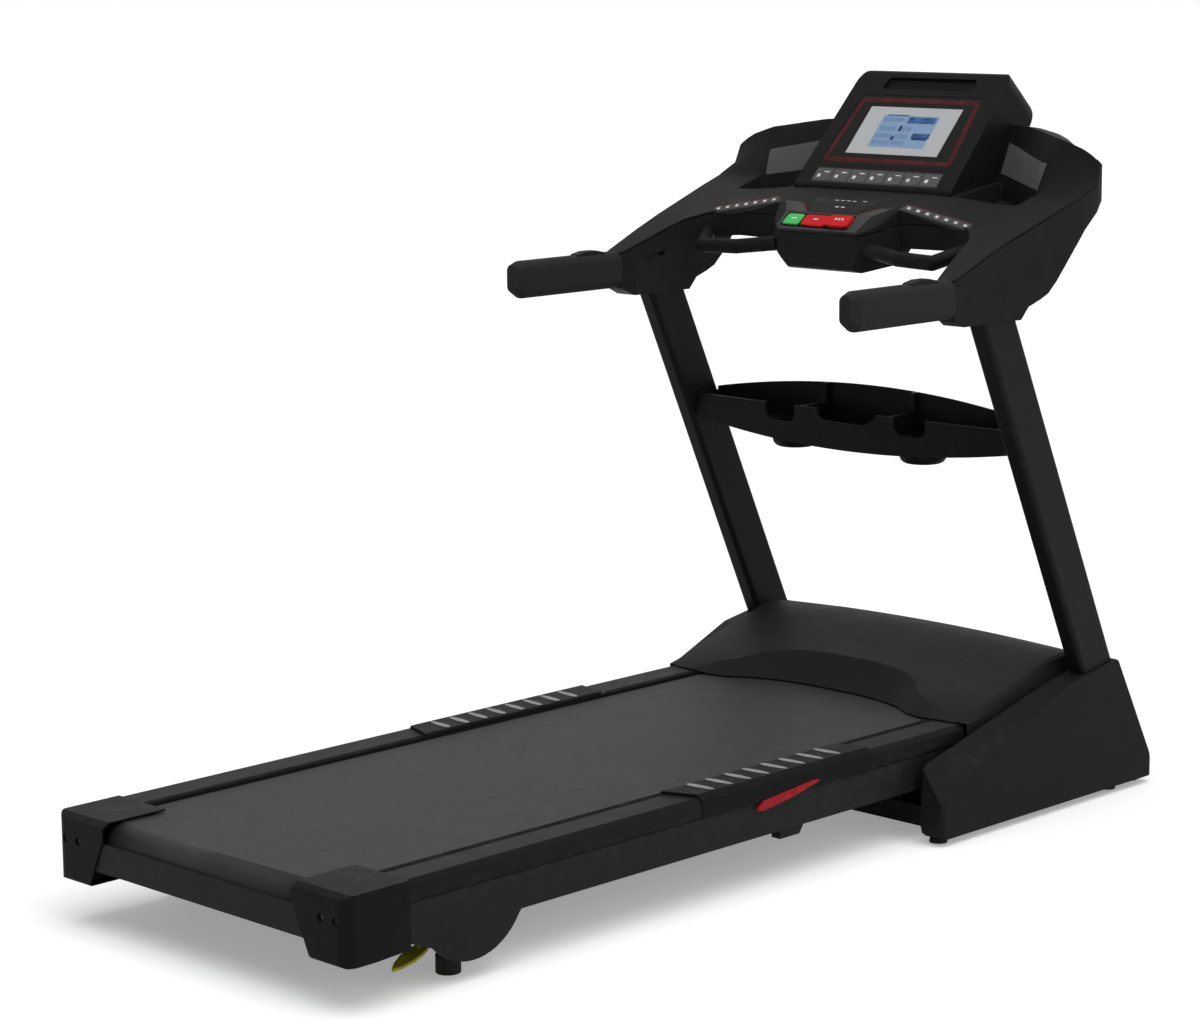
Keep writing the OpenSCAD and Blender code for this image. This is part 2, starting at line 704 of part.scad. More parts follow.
module rear_crossmember() color([0.18, 0.18, 0.18]) at_rear()
  difference() {
    union() {
      block(-344, 344, 3.2, 9.6, 108, 157);
      // Flanges bolted to the ends of the side frames
      for (s = [-1, 1]) block(s * 340.5 - 3.5, s * 340.5 + 3.5, 9, 50, 108, 150);
    }
    for (s = [-1, 1]) translate([s * 304, 0, rear_axle[1] - 4]) rotate([-90, 0, 0])
      cylinder(h = 20, d = 9);
  }

module mid_crossmember() color([0.18, 0.18, 0.18]) at_rear() {
  difference() {
    block(-frame_in, frame_in, 1060, 1092, frame_z0, 118);
    block(-frame_in - 1, frame_in + 1, 1063, 1089, frame_z0 + 3, 115);
  }
  // Ears and pin heads for the strut's upper end
  for (s = [-1, 1]) {
    across(s * 11.5 - 3, s * 11.5 + 3) polygon([[1062, 95], [1092, 100], [1134, 100],
      [1134, 76], [1120, 68], [1106, 74]]);
    bar_x(s * 16 - 2, s * 16 + 2, strut_high, 14);
  }
}

module motor_pan() color([0.2, 0.2, 0.2]) at_rear()
  block(-frame_in, frame_in, 1540, 1700, 95, 99);

module deck_board() color([0.35, 0.3, 0.25]) at_rear()
  block(-frame_in + 4, frame_in - 4, 110, 1530, belt_top - belt_t - board_t - 0.6,
    belt_top - belt_t - 0.6);

module belt_loop(r) hull() {
  translate(front_axle) circle(r = front_roller_d / 2 + r);
  translate(rear_axle) circle(r = rear_roller_d / 2 + r);
}

module running_belt() color([0.1, 0.1, 0.1]) at_rear()
  across(-belt_w / 2, belt_w / 2) difference() {
    belt_loop(belt_t + belt_gap);
    belt_loop(belt_gap);
  }

module roller(p, d) difference() {
  union() {
    bar_x(-281, 281, p, d);
    bar_x(-frame_in + 1, frame_in - 1, p, 17);
  }
}

module front_roller() color("silver") at_rear() {
  roller(front_axle, front_roller_d);
  bar_x(-312, -288, front_axle, 60);
}

module rear_roller() color("silver") at_rear() roller(rear_axle, rear_roller_d);

module drive_motor() color([0.2, 0.2, 0.22]) at_rear() difference() {
  union() {
    bar_x(-270, -70, motor_axle, 96);
    block(-240, -100, 1650, 1699, 99, 130);
  }
  bar_x(-300, -60, motor_axle, 17.2);
}

module motor_rotor() color("silver") at_rear() {
  bar_x(-314, -40, motor_axle, 17);
  bar_x(-312, -288, motor_axle, 28);
  bar_x(-64, -44, motor_axle, 110);
}

module drive_belt() color("black") at_rear() across(-310, -290) difference() {
  hull() {
    translate(front_axle) circle(d = 66);
    translate(motor_axle) circle(d = 34);
  }
  hull() {
    translate(front_axle) circle(d = 60.5);
    translate(motor_axle) circle(d = 28.5);
  }
}

module motor_controller() color([0.1, 0.3, 0.15]) at_rear() block(60, 240, 1622, 1742, 99, 148);

module deck_cushions() color("black") at_rear()
  for (s = [-1, 1], y = [180, 500, 840, 1180, 1500]) translate([s * (frame_in - 20), y, 0])
    translate([0, 0, 140]) cylinder(h = 22, d = 26);

// ---------- foot rails and trim ----------

module foot_rail() color([0.18, 0.18, 0.18]) at_rear() {
  // Seat of the hood's lower edge
  block(340, hood_half - 0.5, 1499, 1800, hood_seat, hood_floor - 0.2);
  along(130.3, 1500) polygon([[belt_edge, 184], [belt_edge, 189], [belt_edge + 3, rail_top],
    [deck_half - 8, rail_top + 1], [deck_half, 183], [deck_half, 159.5], [deck_half - 3, 159.5],
    [deck_half - 3, 155], [deck_half - 5.5, 155], [deck_half - 5.5, 181], [deck_half - 11, 187.5], [belt_edge + 4, 187.5], [belt_edge + 4, 184]]);
}

module foot_rail_right() foot_rail();

module foot_rail_left() left() foot_rail();

module rail_inserts() color([0.12, 0.12, 0.12]) at_rear()
  for (m = [0, 1]) mirror([m, 0, 0]) intersection() {
    along(750, 1230) polygon([[belt_edge + 4, rail_top + 0.6], [belt_edge + 7, 196],
      [deck_half - 9, 197], [deck_half + 1.5, 187], [deck_half + 1.5, 156],
      [deck_half + 0.1, 156], [deck_half + 0.1, 183.2], [deck_half - 7.9, 192.1]]);
    // Slanted ends
    linear_extrude(300) polygon([[belt_edge, 757], [deck_half + 2, 784], [deck_half + 2, 1222],
      [belt_edge, 1209]]);
  }

module lens_outline() rounded(1.5) polygon([[918, 143], [934, 140], [1010, 150], [1074, 164],
  [1082, 168.5], [1062, 169.5], [934, 158]]);

module side_lenses() color([0.6, 0.1, 0.12]) at_rear()
  for (m = [0, 1]) mirror([m, 0, 0]) {
    across(deck_half + 1.6, deck_half + 3.6) lens_outline();
    across(frame_out, deck_half + 2) intersection() {
      lens_outline();
      translate([900, 130]) square([200, frame_z1 - 130]);
    }
  }

// Plan of an end cap, its outer rear corner rounded, moved in by t
module cap_plan(t, inner) polygon(concat([[inner, 170], [inner, t]],
  arc(deck_half - 22.5, 23, 23 - t, -90, 0, 10), [[deck_half + 0.5 - t, 170]]));

// Side view of an end cap, moved in by t
module cap_side(t) offset(delta = -t) rounded(7) polygon([[0, 79], [0, 184], [14, rail_top + 1.5],
  [200, rail_top + 1.5], [200, 86], [60, 79]]);

module end_cap() color([0.16, 0.16, 0.16]) at_rear() {
  difference() {
    intersection() {
      linear_extrude(300) cap_plan(0, cap_in);
      across(cap_in - 1, deck_half + 1) difference() {
        cap_side(0);
        translate([130, 0]) square([100, 300]);
      }
      // Inner edge leaning out below the belt
      along(-1, 131) polygon([[cap_in, 200], [cap_in, 165], [cap_in + 41, 78], [370, 78], [370, 200]]);
    }
    intersection() {
      linear_extrude(300) cap_plan(2.8, cap_in - 4);
      across(cap_in - 2, deck_half) difference() {
        cap_side(2.8);
        translate([132, 0]) square([100, 300]);
      }
    }
    block(frame_in, frame_out + 0.3, 49, 132, 70, rail_top - 1.3);
    // Holes over the roller's adjusting bolts
    for (x = [304, 338]) translate([x, -1, rear_axle[1] - 4]) rotate([-90, 0, 0])
      cylinder(h = 6, d = 14);
  }
  // Inner wall behind the belt's edge
  difference() {
    block(284.5, 287.5, 2, 80, 86, rail_top - 1);
    bar_x(280, 290, rear_axle, 20);
    // Notch for the rear bar
    block(284, 288, 2.9, 10.2, 107.4, 157.6);
  }
}

module end_cap_right() end_cap();

module end_cap_left() left() end_cap();

module rear_feet() color("black") at_rear() for (s = [-1, 1]) translate([s * 297, 266, 0]) {
  cylinder(h = 30, d = 41);
  translate([0, 0, 30]) cylinder(h = 64, d = 14);
}

module roller_bolts() color("silver") at_rear() for (s = [-1, 1])
  translate([s * 304, 4, rear_axle[1] - 4]) rotate([-90, 0, 0]) cylinder(h = 27, d = 8);

module release_pedal() color([0.5, 0.5, 0.1]) at_rear() {
  bar_x(297, frame_in - 0.4, pedal_pin, 12);
  across(300, 306) rounded(3) polygon([[227, 106], [241, 106], [241, 92], [215, 53], [195, 53]]);
  // Leaf-shaped tread
  translate([303, 208, 57]) rotate([20.5, 0, 0]) translate([0, 0, -3]) linear_extrude(5)
    polygon([[-10, 6], [10, 6], [16, -14], [17, -34], [10, -56], [0, -70], [-10, -56],
      [-17, -34], [-16, -14]]);
}

// ---------- motor hood ----------

hood_half = 370;
hood_floor = 165;
hood_seat = 154.8;
hood_front = 1852;

// Height of the hood's ridge line at a station, before the crown
function hood_ridge(y) = lookup(y, [[1440, 194], [1480, 206], [1510, 219], [1560, 235],
  [1620, 250], [1700, 274], [1745, 286], [1785, 290], [1815, 284], [1838, 266], [1852, 236]]);

// Crowned top skin of the hood
function hood_top(x, y) = hood_ridge(y) - 11 * pow(x / hood_half, 2);

// Station of the lip over the belt: set forward in the middle, where the scoop is
function hood_lip(x) = lookup(abs(x), [[75, 1540], [130, 1530], [185, 1511], [226, 1484],
  [289, 1471], [330, 1471], [352, 1475], [370, 1482]]);

// How far the scoop's face runs from the lip up to the top skin
function scoop_run(x) = lookup(abs(x), [[0, 55], [165, 56], [230, 36], [300, 22]]);

// Stations of one lengthwise row of the hood at x
function hood_row(x, thin) = let (lip = hood_lip(x), top = lip + scoop_run(x))
  concat([lip + thin, top + thin], [for (i = [1 : 8]) top + (hood_front - 34 - top) * i / 8],
    [1838, hood_front - thin, hood_front - thin]);

// Crosswise places of the hood's grid: [x, drop below the top skin, 1 on the side's lower edge]
hood_cols = let (half = [[370, 0, 1], [370, 16, 0], [367, 6, 0], [360, 1.5, 0], [340, 0, 0],
  [300, 0, 0], [260, 0, 0], [225, 0, 0], [190, 0, 0], [155, 0, 0], [120, 0, 0], [60, 0, 0]])
  concat([for (c = half) [-c[0], c[1], c[2]]], [[0, 0, 0]],
    [for (i = [len(half) - 1 : -1 : 0]) half[i]]);

function hood_grid(t) = [for (c = hood_cols) let (x = c[0], ys = hood_row(x, t), last = len(ys) - 1,
  lip_z = 189.6 + 4 * ease((abs(x) - 276) / 6))
  [for (j = [0 : last]) [x * (1 - t / hood_half), ys[j],
    c[2] == 1 || j == last ? hood_floor : j == 0 ? lip_z + t / 3
      : max(lip_z + 1, hood_top(x, ys[j]) - c[1]) - t]]];

module motor_hood() color([0.17, 0.17, 0.17]) at_rear()
  thick_sheet(hood_grid(0), hood_grid(3));

base_rail_left();
base_rail_right();
base_rear_tube();
base_front_tube();
base_feet();
base_cover_left();
base_cover_right();
upright_left();
upright_right();
accessory_tray();
grip_left();
grip_right();
thumb_key_left();
thumb_key_right();
console_lower();
console_upper();
display_housing();
display_back();
display_bezel();
lcd_screen();
start_key();
stop_key();
pulse_bar_left();
pulse_bar_right();
safety_key();
power_panel();
rocker_switch();
breaker_button();
transport_wheel_left();
transport_wheel_right();
lift_frame();
fold_cradle();
strut_cylinder();
strut_rod();
incline_motor();
incline_screw();
deck_rail_left();
deck_rail_right();
rear_crossmember();
mid_crossmember();
motor_pan();
deck_board();
running_belt();
front_roller();
rear_roller();
drive_motor();
motor_rotor();
drive_belt();
foot_rail_left();
foot_rail_right();
rail_inserts();
side_lenses();
end_cap_left();
end_cap_right();
rear_feet();
roller_bolts();
motor_hood();
motor_controller();
deck_cushions();
release_pedal();
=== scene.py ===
# A home treadmill: a running deck that folds and inclines, driven by a motor under a hood at its
# front, and a console with handlebars on two leaning uprights.
import json
import math

import bmesh
import bpy
from mathutils import Matrix, Vector
from mathutils.bvhtree import BVHTree

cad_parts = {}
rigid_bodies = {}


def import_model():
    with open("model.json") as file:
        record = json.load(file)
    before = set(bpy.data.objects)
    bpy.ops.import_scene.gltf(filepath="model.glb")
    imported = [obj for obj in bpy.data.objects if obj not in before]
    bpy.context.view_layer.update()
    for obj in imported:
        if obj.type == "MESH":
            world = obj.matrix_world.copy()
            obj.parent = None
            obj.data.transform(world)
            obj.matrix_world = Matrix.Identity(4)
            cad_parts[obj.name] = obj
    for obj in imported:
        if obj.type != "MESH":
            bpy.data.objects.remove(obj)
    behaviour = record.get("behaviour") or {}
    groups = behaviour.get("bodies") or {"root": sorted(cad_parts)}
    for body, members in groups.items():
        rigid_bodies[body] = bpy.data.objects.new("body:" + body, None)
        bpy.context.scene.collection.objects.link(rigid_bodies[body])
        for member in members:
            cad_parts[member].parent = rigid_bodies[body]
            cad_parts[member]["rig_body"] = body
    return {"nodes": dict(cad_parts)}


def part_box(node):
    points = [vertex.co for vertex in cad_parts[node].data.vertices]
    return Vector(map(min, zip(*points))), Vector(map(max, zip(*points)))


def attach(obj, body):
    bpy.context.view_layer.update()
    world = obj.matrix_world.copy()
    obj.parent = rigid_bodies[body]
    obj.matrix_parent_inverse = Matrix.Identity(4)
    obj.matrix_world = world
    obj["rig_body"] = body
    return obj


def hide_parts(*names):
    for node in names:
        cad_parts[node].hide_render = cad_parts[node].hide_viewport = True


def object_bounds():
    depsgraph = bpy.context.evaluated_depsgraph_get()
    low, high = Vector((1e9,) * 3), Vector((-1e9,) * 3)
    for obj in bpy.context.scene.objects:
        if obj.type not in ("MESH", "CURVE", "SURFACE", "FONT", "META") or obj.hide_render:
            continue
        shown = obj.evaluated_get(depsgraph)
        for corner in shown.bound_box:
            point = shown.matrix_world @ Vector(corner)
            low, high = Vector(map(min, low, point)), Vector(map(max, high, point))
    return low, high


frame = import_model()
cad_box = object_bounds()
rear_end = cad_box[0].y


# ---------- studio ----------
# A pale floor that shades to white, two broad soft lamps and the camera, which looks at the
# machine from behind its right side.

def from_rear(x, y, z):
    """A place in mm: across from the middle, forward from the rear end, up from the floor."""
    return Vector((x / 1000, rear_end + y / 1000, z / 1000))


def aim(obj, azimuth, elevation, roll, target, distance):
    """Puts a camera or a lamp at a distance from its target, looking at it; angles in degrees."""
    a, e, r = (math.radians(v) for v in (azimuth, elevation, roll))
    back = Vector((math.sin(a) * math.cos(e), -math.cos(a) * math.cos(e), math.sin(e)))
    right = Vector((math.cos(a), math.sin(a), 0))
    up = back.cross(right)
    turn = Matrix((right * math.cos(r) + up * math.sin(r),
                   up * math.cos(r) - right * math.sin(r), back)).transposed().to_4x4()
    turn.translation = target + back * distance
    obj.matrix_world = turn


def placed(name, data):
    """A new object at the origin that shows the given data."""
    obj = bpy.data.objects.new(name, data)
    bpy.context.scene.collection.objects.link(obj)
    return obj


camera = placed("camera", bpy.data.cameras.new("camera"))
camera.data.sensor_width = 36
camera.data.lens = 96.64
aim(camera, azimuth=44.638, elevation=10.121, roll=-0.442,
    target=from_rear(16.91, 897.25, 609.92), distance=5.5982)
bpy.context.scene.camera = camera
bpy.context.scene.view_settings.view_transform = "Standard"

for name, azimuth, elevation, strength, spread in (("overhead", 60, 74, 1.95, 60),
                                                   ("side_fill", 92, 34, 0.7, 50)):
    lamp = placed(name, bpy.data.lights.new(name, "SUN"))
    lamp.data.energy = strength
    lamp.data.angle = math.radians(spread)
    aim(lamp, azimuth, elevation, roll=0, target=Vector((0, 0, 0.5)), distance=4)


class Field:
    """A number that varies over a surface. Arithmetic on fields adds Math nodes."""

    def __init__(self, finish, socket):
        self.finish, self.socket = finish, socket

    def math(self, operation, *others):
        made = self.finish.node("Math", {"operation": operation}, enumerate((self, *others)))
        return Field(self.finish, made.outputs[0])

    def __add__(self, other):
        return self.math("ADD", other)

    def __mul__(self, other):
        return self.math("MULTIPLY", other)

    def __sub__(self, other):
        return self.math("SUBTRACT", other)

    def __rsub__(self, other):
        return self * -1 + other

    __radd__, __rmul__ = __add__, __mul__


class Finish:
    """A surface finish: one shader, and the nodes that vary it over the piece."""

    def __init__(self, name, **constants):
        self.material = bpy.data.materials.new(name)
        self.material.use_nodes = True
        self.tree = self.material.node_tree
        self.shader = self.tree.nodes["Principled BSDF"]
        self.place = self.node("TexCoord").outputs["Object"]
        self.relief = None
        self.set(**constants)

    def set(self, **values):
        """Feeds the shader's sockets, named with _ for each space."""
        for name, value in values.items():
            self.feed(value, self.shader.inputs[name.replace("_", " ")])

    def feed(self, value, socket):
        """Links a field or a socket to a socket, or writes a plain value there."""
        value = value.socket if isinstance(value, Field) else value
        if isinstance(value, bpy.types.NodeSocket):
            self.tree.links.new(value, socket)
        else:
            socket.default_value = value

    def node(self, kind, settings=(), sockets=()):
        """A node of a kind, with its settings and then its sockets' values or links."""
        made = self.tree.nodes.new("ShaderNode" + kind)
        for name, value in dict(settings).items():
            setattr(made, name, value)
        for name, value in dict(sockets).items():
            self.feed(value, made.inputs[name])
        return made

    def noise(self, scale, detail=3):
        """Even noise from 0 to 1, with about this many lumps a metre."""
        made = self.node("TexNoise", (), {"Vector": self.place, "Scale": scale,
                                          "Detail": detail})
        return Field(self, made.outputs[0])

    def axes(self):
        """The three coordinates of the place on the piece, in metres."""
        made = self.node("SeparateXYZ", (), {0: self.place})
        return [Field(self, socket) for socket in made.outputs]

    def step(self, value, low, high):
        """0 below low and 1 above high, with a smooth rise between; it falls if low is higher."""
        made = self.node("MapRange", {"interpolation_type": "SMOOTHSTEP"},
                         {"Value": value, "From Min": low, "From Max": high})
        return Field(self, made.outputs[0])

    def blend(self, factor, first, second):
        """A colour between two colours."""
        made = self.node("Mix", {"data_type": "RGBA"}, {0: factor, 6: first, 7: second})
        return made.outputs[2]

    def wear(self):
        """1 on outward edges, where handling rubs the surface, else 0."""
        pointed = Field(self, self.node("NewGeometry").outputs["Pointiness"])
        flat_face = 0.5
        return self.step(pointed, flat_face + 0.02, flat_face + 0.12)

    def bump(self, height, depth):
        """Raises the surface by height times depth, over what was raised before."""
        sockets = {"Height": height, "Distance": depth}
        if self.relief is not None:
            sockets["Normal"] = self.relief
        self.relief = self.node("Bump", (), sockets).outputs[0]
        self.set(Normal=self.relief)
        return self


def tone(red, green=None, blue=None):
    """A colour from its display values, 0 to 255. One value gives a grey."""
    shades = (red, red if green is None else green, red if blue is None else blue)
    return (*[((v / 255 + 0.055) / 1.055) ** 2.4 for v in shades], 1)


# The room lights the machine faintly. The camera, gloss and glass see it as plain white.
room = bpy.data.worlds.new("room")
bpy.context.scene.world = room
room.use_nodes = True
sky = room.node_tree
faint_light = sky.nodes["Background"]
faint_light.inputs["Color"].default_value = tone(250)
faint_light.inputs["Strength"].default_value = 0.31
white_wall = sky.nodes.new("ShaderNodeBackground")
white_wall.inputs["Color"].default_value = (1, 1, 1, 1)
sky_rays = sky.nodes.new("ShaderNodeLightPath").outputs
seen = sky_rays["Is Camera Ray"]
for kind in ("Is Glossy Ray", "Is Transmission Ray"):
    either = sky.nodes.new("ShaderNodeMath")
    either.operation = "MAXIMUM"
    sky.links.new(seen, either.inputs[0])
    sky.links.new(sky_rays[kind], either.inputs[1])
    seen = either.outputs[0]
choice = sky.nodes.new("ShaderNodeMixShader")
for i, source in enumerate((seen, faint_light.outputs[0], white_wall.outputs[0])):
    sky.links.new(source, choice.inputs[i])
sky.links.new(choice.outputs[0], sky.nodes["World Output"].inputs[0])

floor_mesh = bmesh.new()
bmesh.ops.create_grid(floor_mesh, x_segments=2, y_segments=2, size=30)
floor_data = bpy.data.meshes.new("floor")
floor_mesh.to_mesh(floor_data)
floor_mesh.free()
floor = placed("floor", floor_data)
paper = Finish("floor_paper", Roughness=0.9, Specular_IOR_Level=0.1)
paper.set(Base_Color=paper.blend(paper.noise(0.7), tone(228), tone(232)))
glow = paper.node("Emission", (), {"Strength": 0.3}).outputs[0]
lit = paper.node("AddShader", (), {0: paper.shader.outputs[0], 1: glow}).outputs[0]
floor_rays = paper.node("LightPath").outputs
shown = Field(paper, floor_rays["Is Camera Ray"]).math("MAXIMUM", floor_rays["Is Glossy Ray"])
mixed = paper.node("MixShader", (), {0: shown, 1: paper.shader.outputs[0], 2: lit}).outputs[0]
paper.feed(mixed, paper.tree.nodes["Material Output"].inputs[0])
floor.data.materials.append(paper.material)


# ---------- base frame ----------
# Two long square steel tubes joined by round-cornered cross tubes, welded and powder coated in
# satin black. It stands on four rubber feet.

def coated(name, shade, roughness=0.42):
    """Powder coat: a slight orange peel, and a little bare gloss along the edges."""
    made = Finish(name, Specular_IOR_Level=0.06)
    base = made.blend(made.noise(9), tone(shade * 0.9), tone(shade * 1.08))
    worn = made.wear() * made.step(made.noise(60), 0.42, 0.7)
    made.set(Base_Color=made.blend(worn * 0.55, base, tone(shade * 1.7)),
             Roughness=made.noise(35) * 0.1 + (roughness - 0.05) - worn * 0.1)
    orange_peel = 0.00012
    return made.bump(made.noise(900, 1), orange_peel)


def moulded(name, shade, roughness=0.5, grain=0.00022, size=1400, tint=(1, 1, 1), gloss=0.05):
    """Moulded plastic: a fine spark-eroded grain, rubbed smoother and paler along its edges."""
    made = Finish(name, Specular_IOR_Level=gloss)
    dark, pale, rubbed = (tone(*[min(shade * factor, 250) * part for part in tint])
                          for factor in (0.92, 1.08, 1.6))
    base = made.blend(made.noise(6), dark, pale)
    worn = made.wear() * made.step(made.noise(45), 0.4, 0.7)
    speck = made.noise(size, 2)
    made.set(Base_Color=made.blend(worn * 0.4, base, rubbed),
             Roughness=made.noise(25) * 0.12 + (roughness - 0.06) - worn * 0.12 + speck * 0.05)
    return made.bump(speck, grain)


def fettled(node, finish, edge=1.2, segments=2, sharp=35, curved=False, shape=None):
    """Puts a copy of a part in its place: its flats joined, its edges rounded by edge mm, and
    reshaped by shape if one is given. A curved part keeps its facets and is shaded smooth."""
    made = bmesh.new()
    made.from_mesh(frame["nodes"][node].data)
    bmesh.ops.remove_doubles(made, verts=made.verts, dist=2e-6)
    if not curved:
        bmesh.ops.dissolve_limit(made, angle_limit=math.radians(0.6), verts=made.verts,
                                 edges=made.edges)
    if shape:
        shape(made)
    finished(made, node + "_part", finish, frame["nodes"][node]["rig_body"], edge, segments,
             sharp, curved, stands_for=node)


def finished(made, name, finish, body, edge=0, segments=2, sharp=35, curved=False,
             stands_for=None):
    """Makes a piece of a mesh: rounds its edges by edge mm where they turn by more than sharp
    degrees, and gives it its finish and its body."""
    for line in made.edges:
        line.smooth = not curved or line.calc_face_angle(0) < math.radians(sharp)
    data = bpy.data.meshes.new(name)
    made.to_mesh(data)
    made.free()
    # A part brings its own stored normals, which don't fit once its edges are rounded.
    for layer in [a for a in data.attributes if a.name == "custom_normal"]:
        data.attributes.remove(layer)
    for face in data.polygons:
        face.use_smooth = True
    data.materials.append(finish.material)
    piece = placed(name, data)
    if edge:
        rounding = piece.modifiers.new("rounding", "BEVEL")
        rounding.width = edge / 1000
        rounding.segments = segments
        rounding.limit_method = "ANGLE"
        rounding.angle_limit = math.radians(sharp)
    if not curved:
        # The wide faces set the shading, so that they look flat right up to their rounded edges.
        flats = piece.modifiers.new("flats", "WEIGHTED_NORMAL")
        flats.weight = 80
    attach(piece, body)
    if stands_for:
        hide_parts(stands_for)


frame_coat = coated("frame_coat", 24)
for node in ("base_rail_left", "base_rail_right", "base_rear_tube", "base_front_tube"):
    fettled(node, frame_coat)

rubber = moulded("foot_rubber", 22, roughness=0.75, grain=0.0004, size=600, gloss=0.25)
fettled("base_feet", rubber)


# ---------- base covers ----------
# Injection-moulded shrouds over the ends of the base tubes and the feet of the uprights, held by
# hidden screws.

cover_plastic = moulded("cover_plastic", 24)
upright_foot = from_rear(0, 1706, 0).y


def slope_outwards(made):
    """Cuts a cover's rear end back and lets its top fall away outwards, more so to the rear."""
    outer_edge, top, fall = 0.418, 0.1, 0.16
    rear_part, cut_back = rear_end + 1.34, 0.02
    for vert in made.verts:
        if abs(vert.co.x) > outer_edge and vert.co.z > top and vert.co.y < upright_foot:
            vert.co.z -= fall * (upright_foot - vert.co.y)
        if vert.co.y < rear_part:
            vert.co.y += cut_back


for side in ("left", "right"):
    fettled("base_cover_" + side, cover_plastic, edge=7, segments=4,
            shape=slope_outwards)


# ---------- transport wheels ----------
# Two moulded wheels with soft rubber tyres, each on a pin in a fork at the front of the base. They
# clear the floor until the machine is tipped forwards.

tyre = moulded("tyre_rubber", 22, roughness=0.8, grain=0.0004, size=700, gloss=0.25)
for side in ("left", "right"):
    fettled("transport_wheel_" + side, tyre, edge=1)


# ---------- uprights ----------
# Two leaning oblong steel tubes, powder coated. They are bolted to the base under its covers, and
# carry the tray and the console.

upright_coat = coated("upright_coat", 24, roughness=0.45)
for side in ("left", "right"):
    fettled("upright_" + side, upright_coat, edge=2)


# ---------- accessory tray ----------
# One deep plastic moulding with two cup wells, two shelves and a middle pocket. It is screwed
# between the uprights.

tray_plastic = moulded("tray_plastic", 18, roughness=0.46)
fettled("accessory_tray", tray_plastic, edge=2.2, segments=3)


# ---------- handlebar grips ----------
# Soft foam sleeves with rounded corners over the handlebar tubes; each has a speed or incline
# rocker under the thumb.

def sponge(name, shade):
    """Moulded foam: closed skin with fine open pores and slow dents."""
    made = Finish(name, Specular_IOR_Level=0.12)
    cells = made.node("TexVoronoi", (), {"Vector": made.place, "Scale": 420}).outputs["Distance"]
    pores = made.step(Field(made, cells), 0.12, 0.35)
    made.set(Base_Color=made.blend(pores, tone(shade * 0.72), tone(shade)),
             Roughness=pores * -0.12 + 0.86)
    made.bump(pores, 0.0004)
    return made.bump(made.noise(60, 2), 0.0008)


foam = sponge("grip_foam", 34)
thumb_plastic = moulded("thumb_plastic", 28, roughness=0.45)
for side in ("left", "right"):
    fettled("grip_" + side, foam, edge=8, segments=4, sharp=18)
    fettled("thumb_key_" + side, thumb_plastic, edge=2.5, segments=3, sharp=15)


# ---------- console shells ----------
# Two thin mouldings that meet in a seam round the arms: a hollow lower shell on the uprights and
# a sculpted skin with a well on each side of the display.

shell_plastic = moulded("shell_plastic", 27)
skin_plastic = moulded("skin_plastic", 24, roughness=0.52)


def rise(value, start, length):
    """0 up to start, then rising evenly to 1 over a length."""
    return min(max((value - start) / length, 0), 1)


def soften_corners(made):
    """Rounds down the front outer corner of each wing and cuts back the pod's lower corners."""
    pod_front, pod_half, cut_back, drop = rear_end + 1.56, 0.14, 0.025, 0.014
    for vert in made.verts:
        if vert.co.y < pod_front and abs(vert.co.x) < pod_half:
            low = 1 - rise(vert.co.z, 0.9935, 0.026)
            wide = rise(abs(vert.co.x), 0.05, 0.045)
            vert.co.x -= math.copysign(cut_back * low * wide, vert.co.x)
        outer = rise(abs(vert.co.x), 0.39, 0.05)
        ahead = rise(vert.co.y, rear_end + 1.735, 0.03)
        vert.co.z -= drop * outer ** 2 * ahead


fettled("console_lower", shell_plastic, edge=2, shape=soften_corners)
fettled("console_upper", skin_plastic, edge=2, segments=3, sharp=42,
        curved=True, shape=soften_corners)


# ---------- display ----------
# A deep head moulding with a glossy black bezel round a light frame and a blue backlit panel. A
# red line is printed round the bezel, and a row of seven membrane keys is glued on below it.

def flat(x, y, z, tilt):
    """The plane through a place that leans back by tilt degrees; its third axis points out."""
    return Matrix.Translation(from_rear(x, y, z)) @ Matrix.Rotation(math.radians(tilt), 4, "X")


def moved_out(plane, mm):
    """The same plane, so many mm further out."""
    return plane @ Matrix.Translation((0, 0, mm / 1000))


def oblong(u, v, width, height, lean=0):
    """Corners of an oblong about a middle, its top edge moved sideways by lean."""
    w, h = width / 2, height / 2
    return [(u - w, v - h), (u + w, v - h), (u + w + lean, v + h), (u - w + lean, v + h)]


def plates(name, outlines, thick, plane, finish, body, corner=0, edge=0.0, rim=0):
    """Thin plates on a plane from their outlines, in mm: corner rounds an outline's corners, edge
    the plate's edges, and rim keeps only a band of that width."""
    made = bmesh.new()
    for outline in outlines:
        made.faces.new([made.verts.new((u / 1000, v / 1000, 0)) for u, v in outline])
    if corner:
        bmesh.ops.bevel(made, geom=made.verts[:], offset=corner / 1000, segments=5,
                        affect="VERTICES", profile=0.5, material=-1)
    if rim:
        middles = made.faces[:]
        bmesh.ops.inset_individual(made, faces=middles, thickness=rim / 1000)
        bmesh.ops.delete(made, geom=middles, context="FACES")
    raised = bmesh.ops.extrude_face_region(made, geom=made.faces[:])
    bmesh.ops.translate(made, vec=(0, 0, thick / 1000),
                        verts=[v for v in raised["geom"] if isinstance(v, bmesh.types.BMVert)])
    bmesh.ops.recalc_face_normals(made, faces=made.faces)
    bmesh.ops.transform(made, matrix=plane, verts=made.verts)
    finished(made, name, finish, body, edge)


